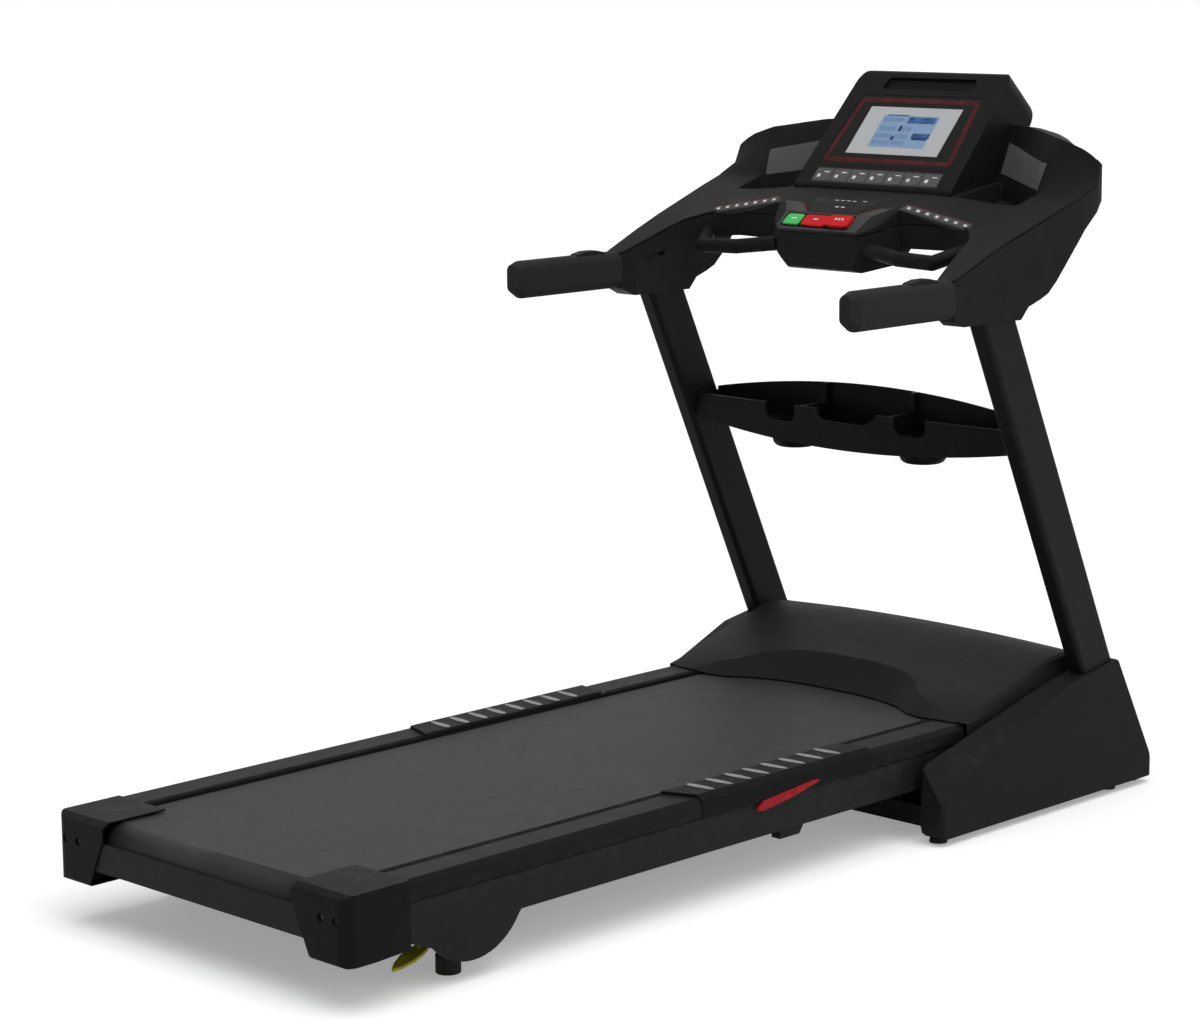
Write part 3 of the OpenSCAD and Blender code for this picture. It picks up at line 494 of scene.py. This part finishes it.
head_tilt = 46.8
head_face = flat(0, 1638, 1131, head_tilt)
head_plastic = moulded("head_plastic", 20, roughness=0.46)
back_plastic = moulded("head_back_plastic", 20, roughness=0.5)
fettled("display_housing", head_plastic, edge=3, segments=4)
fettled("display_back", back_plastic, edge=3, segments=3)
bezel_gloss = moulded("bezel_gloss", 26, roughness=0.35, grain=0.00002, size=300,
                      tint=(1, 0.98, 0.9))
fettled("display_bezel", bezel_gloss, edge=0.4)
print_red = moulded("print_red", 66, roughness=0.55, grain=0.00001, tint=(1, 0.44, 0.48))
plates("bezel_line", [[(-156, 66.5), (156, 66.5), (143.5, 225.5), (-143.5, 225.5)]], 0.25,
       moved_out(head_face, -0.62), print_red, "base", corner=9, rim=10.5)

panel_light = Finish("panel_light", Roughness=0.35, Specular_IOR_Level=0.2)
x, y, z = panel_light.axes()
tilt, foot = math.radians(head_tilt), head_face.translation
up = (y - foot.y) * math.cos(tilt) + (z - foot.z) * math.sin(tilt)
lit_half_width, lit_middle, lit_half_height = 0.0665, 0.1455, 0.0385
window = panel_light.step(x.math("ABSOLUTE"), lit_half_width + 0.002, lit_half_width) \
    * panel_light.step((up - lit_middle).math("ABSOLUTE"), lit_half_height + 0.0015,
                       lit_half_height)
backlit_blue = panel_light.blend(panel_light.noise(160), tone(96, 128, 166), tone(126, 154, 184))
# Painted glow: the whole screen glows faintly and evenly in grey. Over the blue window this stands
# for the backlight; over the light frame round it, the glow is painted light.
panel_light.set(Base_Color=panel_light.blend(window, tone(168, 170, 171), backlit_blue),
                Emission_Color=tone(170, 174, 176), Emission_Strength=0.08)
panel_light.bump(panel_light.noise(700, 1), 0.00001)
fettled("lcd_screen", panel_light, edge=0.3)


def digit(u, v, width, height):
    """The seven bars of a display digit about its middle."""
    bar, w, h = width * 0.28, width / 2, height / 2
    across = [oblong(u, v + k * h, width - 2.4 * bar, bar) for k in (-1, 0, 1)]
    down = [oblong(u + i * w, v + k * h / 2, bar, h - 1.2 * bar) for i in (-1, 1) for k in (-1, 1)]
    return across + down


pale_bars, dark_bars = [], []
for row, height in ((118, 10), (134, 9), (152, 9)):
    for i in range(7):
        after_fourth = 4 if i > 3 else 0
        pale_bars += digit(-58 + i * 10.6 + after_fourth, row, 6.2, height)
for i in range(5):
    pale_bars += digit(-58 + i * 9.4, 174, 5.6, 9)
    dark_bars += digit(2 + i * 13.4, 174, 9.2, 13)
for i in range(4):
    dark_bars += digit(30 + i * 10.4, 136.5, 7.2, 11)
dark_bars += [oblong(-12, 153, 7, 13), oblong(-19, 129, 7, 9), oblong(46, 129, 36, 5)]
pale_bars += [oblong(29, 174, 66, 15), oblong(46, 136.5, 42, 12), oblong(-33, 185, 50, 3)]
lcd_face = moved_out(head_face, -1.61)
bar_pale = moulded("bar_pale", 134, roughness=0.5, grain=0.00001, tint=(0.46, 0.66, 0.96))
bar_dark = moulded("bar_dark", 100, roughness=0.5, grain=0.00001, tint=(0.36, 0.58, 1))
plates("display_bars_pale", pale_bars, 0.12, lcd_face, bar_pale, "base")
plates("display_bars_dark", dark_bars, 0.14, lcd_face, bar_dark, "base")

key_grey = moulded("key_grey", 66, roughness=0.55, grain=0.00006)
key_pale = moulded("key_pale", 84, roughness=0.55, grain=0.00006)
mark_white = moulded("mark_white", 205, roughness=0.5, grain=0.00001)
strip_thick, key_thick, ink, key_pitch = 0.5, 0.5, 0.12, 43.6
keys = [key_pitch * i for i in range(-3, 4)]
strip_top = moved_out(head_face, strip_thick)
plates("program_strip", [[(-153, 15), (153, 15), (151, 49), (-151, 49)]], strip_thick, head_face,
       key_grey, "base", corner=3, edge=0.15)
plates("program_keys", [oblong(u, 32, 39.5, 28, lean=-0.8) for u in keys], key_thick, strip_top,
       key_pale, "base", corner=3, edge=0.15)
plates("program_marks", [oblong(u - 9, 29, 7.4, 7.4) for u in keys]
       + [oblong(u + 6, 38.5, 13, 2.2) for u in keys], ink, moved_out(strip_top, key_thick),
       mark_white, "base", corner=0.8)
plates("sound_slot_mesh", [oblong(u, v, 1.6, 1.6) for u in range(-102, 104, 4)
                           for v in range(254, 274, 4)], 0.3, moved_out(head_face, -2.9),
       back_plastic, "base")


# ---------- start, stop and safety keys ----------
# Two sprung keys and the safety key, which pulls out, in sockets in the pod. They are moulded in
# green and red plastic, their tops stand over the skin, and plain bars are printed on them.

start_green = moulded("start_green", 176, roughness=0.45, grain=0.00005, tint=(0.4, 1, 0.52))
stop_red = moulded("stop_red", 188, roughness=0.45, grain=0.00005, tint=(1, 0.18, 0.2))


def narrowed(right_side):
    """Squeezes a key's body sideways until its right side stands at this many mm."""
    def narrow(made):
        left, right = (f(v.co.x for v in made.verts) for f in (min, max))
        kept = (min(right_side / 1000, right) - left) / (right - left)
        for vert in made.verts:
            vert.co.x = left + (vert.co.x - left) * kept
    return narrow


under_tops = moved_out(flat(0, 1496.2, 1067.1, 36), 1.3)
low_top, high_top = 2.7, 6.2
# For each key: its finish and slot, the left and right sides of its top, and how thick the top is.
key_tops = {"start_key": (start_green, "green", -96, -57, low_top),
            "stop_key": (stop_red, "red", -52, 6, low_top),
            "safety_key": (stop_red, "red", 7.5, 62.5, high_top)}
for node, (finish, slot, left, right, thick) in key_tops.items():
    fettled(node, finish, edge=0.8, shape=narrowed(right - 2))
    plates(node + "_top", [oblong((left + right) / 2, 22, right - left, 28.4)], thick, under_tops,
           finish, frame["nodes"][node]["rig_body"], corner=5, edge=1)
on_low, on_high = moved_out(under_tops, low_top), moved_out(under_tops, high_top)
plates("start_mark", [oblong(-76, 24, 13, 2.4)], ink, on_low, mark_white, "start_key")
plates("stop_mark", [oblong(-23, 24, 12, 2.4)], ink, on_low, mark_white, "stop_key")
plates("safety_marks", [oblong(u, 25, 4, 5) for u in (27, 35, 43)], ink, on_high, mark_white,
       "base")


# ---------- quick key strips ----------
# A membrane strip with seven keys on each side of the pod. It is glued into the slope of the skin,
# and has a red line printed along its upper edge.

into_skin, skin_slope = -12, 0.8
for side, hand in (("left", -1), ("right", 1)):
    near, far = from_rear(143 * hand, 1554, 1109), from_rear(311 * hand, 1545, 1079.6)
    along = (far - near).normalized() * hand
    upwards = Vector((0, math.cos(skin_slope), math.sin(skin_slope)))
    out = along.cross(upwards).normalized()
    slope = Matrix((along, out.cross(along), out)).transposed().to_4x4()
    slope.translation = near + out * 0.002
    strip = [(hand * u, v) for u, v in ((0, -2), (171, -2), (171, 17), (14, 17))]
    line = [(hand * u, v) for u, v in ((12, 14.5), (170, 14.5), (170, 16.5), (14, 16.5))]
    spots = [hand * (20 + 23 * i) for i in range(7)]
    plates("quick_strip_" + side, [strip], into_skin, slope, key_grey, "base",
           corner=2, edge=0.4)
    plates("quick_line_" + side, [line], 0.25, slope, print_red, "base")
    plates("quick_keys_" + side, [oblong(u, 6.5, 19, 11) for u in spots], 0.4, slope, key_pale,
           "base", corner=1.5, edge=0.1)
    plates("quick_marks_" + side, [oblong(u, 6.5, 7, 5) for u in spots], 0.55, slope, mark_white,
           "base", corner=1)


# ---------- prints on the skin ----------
# Grey panels, red lines and a glossy inset round the pod's keys, with plain bars for legends, and
# a grey patch on the front wall of each well. They are films laid on the moulded skin.

skin_shape = bmesh.new()
skin_shape.from_mesh(frame["nodes"]["console_upper"].data)
skin = BVHTree.FromBMesh(skin_shape)
skin_shape.free()


def draped(name, quads, low, high, finish, way=(0, 0, -1), columns=14, rows=3):
    """Films laid on the skin, from low to high mm over it. Each is four corners in mm, which are
    sent along way until they meet the skin; a spot that misses it moves forwards a little."""
    way = Vector(way)
    made = bmesh.new()
    for corners in quads:
        a, b, c, d = (from_rear(*corner) for corner in corners)
        grid = bmesh.ops.create_grid(made, x_segments=columns, y_segments=rows, size=0.5)
        for vert in grid["verts"]:
            s, t = vert.co.x + 0.5, vert.co.y + 0.5
            spot = (a * (1 - s) + b * s) * (1 - t) + (d * (1 - s) + c * s) * t
            found = (skin.ray_cast(spot + Vector((0, mm / 1000, 0)), way)[0]
                     for mm in range(0, 40, 2))
            vert.co = next(hit for hit in found if hit) - way * low / 1000
    raised = bmesh.ops.extrude_face_region(made, geom=made.faces[:])["geom"]
    bmesh.ops.translate(made, vec=way * (low - high) / 1000,
                        verts=[v for v in raised if isinstance(v, bmesh.types.BMVert)])
    bmesh.ops.recalc_face_normals(made, faces=made.faces)
    finished(made, name, finish, "base", edge=0.12, sharp=40)


def above(*corners):
    """Corners over the console, at a height from which they drop onto the skin."""
    return [(x, y, 1250) for x, y in corners]


draped("pod_panel", [above((-108, 1494.5), (86, 1494.5), (87, 1499.2), (-108.5, 1499.2)),
                     above((-108.5, 1499.5), (-104, 1499.5), (-105, 1534), (-114, 1534)),
                     above((61, 1499.5), (87, 1499.5), (94, 1534), (61, 1534)),
                     above((-104, 1532), (60, 1532), (60, 1534), (-104, 1534))], 0.05, 0.4,
       key_grey, columns=16, rows=4)
draped("pod_wings", [above((-116, 1535), (-64, 1535), (-94, 1562), (-138, 1562)),
                     above((58, 1535), (95, 1535), (134, 1562), (98, 1562))], 0.05, 0.4,
       key_grey, columns=8, rows=4)
draped("pod_lines", [above((-64, 1534), (58, 1534), (58, 1536.5), (-64, 1536.5)),
                     above((-66, 1536), (-62, 1536), (-91, 1562), (-97, 1562)),
                     above((56, 1536), (60, 1536), (100, 1562), (95, 1562))], 0.4, 0.55,
       print_red, columns=10, rows=2)
inset_gloss = moulded("inset_gloss", 12, roughness=0.35, grain=0.00002)
draped("pod_inset", [above((-60, 1538), (54, 1538), (80, 1592), (-88, 1592))], 0.05, 0.35,
       inset_gloss, columns=16, rows=8)
legends = [(x, 1580) for x in (-28, -14, 0, 14)] + [(38, 1582), (-8, 1556), (6, 1556)]
draped("pod_legends", [above(*oblong(x, y, 9, 2.4)) for x, y in legends], 0.35, 0.5, mark_white,
       columns=3, rows=2)
patch = [(196, 1640, 1163), (330, 1640, 1142), (336, 1640, 1190), (196, 1640, 1219)]
patch_grey = moulded("patch_grey", 86, roughness=0.6)
draped("well_patches", [[(hand * x, y, z) for x, y, z in patch] for hand in (1, -1)], 0.5, 1.1,
       patch_grey, way=(0, 1, 0), columns=12, rows=6)


# ---------- pulse bars ----------
# Two bowed tubes that sense the pulse, with a dark satin finish. Each is plugged into the side of
# the pod and into the underside of its wing.

def reach_wing(made):
    """Carries a pulse bar's outer end on along its own line until it enters the wing."""
    for vert in made.verts:
        hand = math.copysign(1, vert.co.x)
        end, run = from_rear(300 * hand, 1514, 1036), Vector((22 * hand, 32, 12)).normalized()
        on_end = (vert.co - end).dot(run) > -0.001
        if on_end:
            vert.co += run * 0.041


bar_shade = moulded("pulse_bar_shade", 20, roughness=0.5, grain=0.00002)
for side in ("left", "right"):
    fettled("pulse_bar_" + side, bar_shade, edge=0, sharp=50, curved=True,
            shape=reach_wing)


# ---------- power panel ----------
# A moulded plate low on the front, screwed to the base, with the mains inlet, a rocker switch and
# the breaker's reset button.

fettled("power_panel", cover_plastic, edge=0.8)
fettled("rocker_switch", thumb_plastic, edge=0.5)
fettled("breaker_button", thumb_plastic, edge=0.5)


# ---------- lift and fold mechanism ----------
# Welded arms that raise the deck's front, the cradle that the deck folds about, the screw motor
# and the gas strut. All turn on plain pins, and are coated or plated.

def metal(name, shade, roughness=0.3):
    """Turned or ground steel with fine rings and slow stains."""
    made = Finish(name, Metallic=1)
    stain = made.noise(18)
    made.set(Base_Color=made.blend(stain, tone(shade * 0.85), tone(shade)),
             Roughness=stain * 0.15 + (roughness - 0.07) + made.noise(400, 2) * 0.06)
    return made.bump(made.noise(1500, 1), 0.00003)


bright = metal("bright_steel", 190)
zinc = metal("zinc_plate", 170, roughness=0.38)
gearbox_paint = coated("gearbox_paint", 84)
for node in ("lift_frame", "fold_cradle"):
    fettled(node, frame_coat)
fettled("strut_cylinder", frame_coat, edge=0.8)
fettled("strut_rod", bright, edge=0.5)
fettled("incline_motor", gearbox_paint, edge=1)
fettled("incline_screw", zinc, edge=0.5)


# ---------- deck frame ----------
# Two steel side frames bolted to two cross members and a motor pan. Rubber cushions on them carry
# a fibreboard deck, whose top has a dark waxed laminate for the belt to slide on.

rail_coat = coated("rail_coat", 28)


def shorten_lug(made):
    """Shortens the lug under the middle of a side frame and sets it back a little."""
    lug_start, lug_end, lug_top = rear_end + 0.9, rear_end + 1.1, 0.08
    for vert in made.verts:
        if vert.co.z < lug_top and lug_start < vert.co.y < lug_end:
            vert.co.z += 0.009
            vert.co.y -= 0.006


for side in ("left", "right"):
    fettled("deck_rail_" + side, rail_coat, shape=shorten_lug)
for node in ("rear_crossmember", "mid_crossmember", "motor_pan"):
    fettled(node, rail_coat)

board = Finish("fibreboard", Roughness=0.5)
board_top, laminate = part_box("deck_board")[1][2], 0.001
fibres = board.blend(board.noise(220), tone(120, 92, 66), tone(146, 116, 86))
on_top = board.step(board.axes()[2], board_top - laminate - 0.0005, board_top - laminate)
board.set(Base_Color=board.blend(on_top, fibres, tone(32)))
board.bump(board.noise(900), 0.0001)
fettled("deck_board", board, edge=1)
fettled("deck_cushions", rubber, edge=0.8)


# ---------- rollers, belts and motor ----------
# The rubber belt runs round two steel rollers between the side frames, and is stretched by two
# bolts at the rear one. A ribbed belt drives the front one from the motor, which a green circuit
# board controls.

def woven(name, shade):
    """Belt cover: a fine crossed texture pressed into rubber, scuffed along the middle."""
    made = Finish(name, Specular_IOR_Level=0.12)
    x, y, _ = made.axes()
    turns = 2600  # radians a metre, so that the ridges are 2.4 mm apart
    weave = (x * turns).math("SINE") * (y * turns).math("SINE") * 0.5 + 0.5
    worn = made.step(x.math("ABSOLUTE"), 0.3, 0.05)
    base = made.blend(made.noise(14) * 0.7 + weave * 0.3, tone(shade * 0.92), tone(shade * 1.06))
    made.set(Base_Color=made.blend(worn * 0.25, base, tone(shade * 1.12)),
             Roughness=made.noise(30) * 0.1 + 0.5)
    return made.bump(weave, 0.00012)


belt_cover = woven("belt_cover", 39)
motor_paint = coated("motor_paint", 60)
board_cover = moulded("board_cover", 46, tint=(0.5, 1, 0.6))
dark_zinc = metal("dark_zinc", 70, roughness=0.45)
fettled("running_belt", belt_cover, edge=0)
fettled("drive_belt", tyre, edge=0)
for node in ("front_roller", "rear_roller", "motor_rotor"):
    fettled(node, bright, edge=0.6)
fettled("drive_motor", motor_paint, edge=1)
fettled("motor_controller", board_cover, edge=1)
fettled("roller_bolts", dark_zinc, edge=0.5)


# ---------- foot rails ----------
# Extruded plastic rails with a rounded top edge, clipped over the side frames. Each has a wrap-over
# insert with moulded grip rungs, and red lenses in its side. A near-black strip along its inner
# top edge is painted shadow, standing for the dark gap between the rail and the belt.

rail_plastic = moulded("rail_plastic", 21, roughness=0.46)
for side in ("left", "right"):
    fettled("foot_rail_" + side, rail_plastic, edge=4, segments=4)

# Painted shadow: a near-black strip on each rail's inner top edge, for the gap next to the belt.
gap_shadow_paint = moulded("rail_gap_painted_shadow", 5, roughness=0.8)
rail_top, shadow_inner, shadow_outer, insert_inner = 191.05, 286.2, 303, 291
stretches = ((131, 756, shadow_outer), (756, 1224, insert_inner), (1224, 1470, shadow_outer))
plates("rail_gap_painted_shadows", [[(hand * x, y) for x, y in ((shadow_inner, start), (outer, start),
                                                    (outer, end), (shadow_inner, end))]
                        for hand in (-1, 1) for start, end, outer in stretches], 0.15,
       flat(0, 0, rail_top, 0), gap_shadow_paint, "deck")
insert_plastic = moulded("insert_plastic", 17, roughness=0.52)
fettled("rail_inserts", insert_plastic, edge=1)

rung = [(294, -2), (300, -6), (320, -7.5), (342, -5), (350.5, -1), (350.5, 1), (342, 5), (320, 7.5),
        (300, 6), (294, 2)]
insert_top, first_rung, rung_pitch, slant = 196.3, 820, 46.6, 0.1
rung_grey = moulded("rung_grey", 132, roughness=0.55, grain=0.0001)
plates("grip_rungs", [[(hand * x, first_rung + rung_pitch * i + y + (x - 294) * slant)
                       for x, y in rung] for i in range(8) for hand in (-1, 1)], 1,
       flat(0, 0, insert_top, 0), rung_grey, "deck", edge=0.3)
lens_red = moulded("lens_red", 138, roughness=0.4, grain=0.00001, tint=(1, 0.22, 0.26))
fettled("side_lenses", lens_red, edge=1)


# ---------- end caps, feet and pedal ----------
# Moulded corner caps screwed over the rear ends of the rails, a rubber levelling foot under each
# side frame, and the sprung yellow pedal that releases the fold.

def trim_wall(made):
    """Brings the inner wall's rear top corner down under the cap's sloping edge."""
    wall_end, too_high = rear_end + 0.002, 0.1895
    for vert in made.verts:
        if abs(vert.co.y - wall_end) < 0.0002 and vert.co.z > too_high:
            vert.co.z -= 0.0051


cap_plastic = moulded("cap_plastic", 17, roughness=0.5)
for side in ("left", "right"):
    fettled("end_cap_" + side, cap_plastic, edge=2.2, segments=4,
            shape=trim_wall)
fettled("rear_feet", rubber, edge=1.2)
pedal_yellow = moulded("pedal_yellow", 150, roughness=0.5, tint=(1, 0.95, 0.3))
fettled("release_pedal", pedal_yellow, edge=1)


# ---------- motor hood ----------
# A sculpted plastic cover over the motor, screwed to the deck frame, with a scoop where the belt
# runs under it. Two fine seams run forwards over its top.

hood_plastic = moulded("hood_plastic", 26, roughness=0.5, gloss=0.07)
x, y, _ = hood_plastic.axes()
seam_at, seam_half, seam_deep, seam_start = 0.235, 0.0008, 0.0015, from_rear(0, 1600, 0).y
from_seam = (x.math("ABSOLUTE") - seam_at).math("ABSOLUTE")
seam = hood_plastic.step(from_seam, 2 * seam_half, seam_half) \
    * hood_plastic.step(y, seam_start, seam_start + 0.004)
hood_plastic.bump(seam * -1, seam_deep)
fettled("motor_hood", hood_plastic, edge=1.2, segments=3, sharp=21, curved=True)
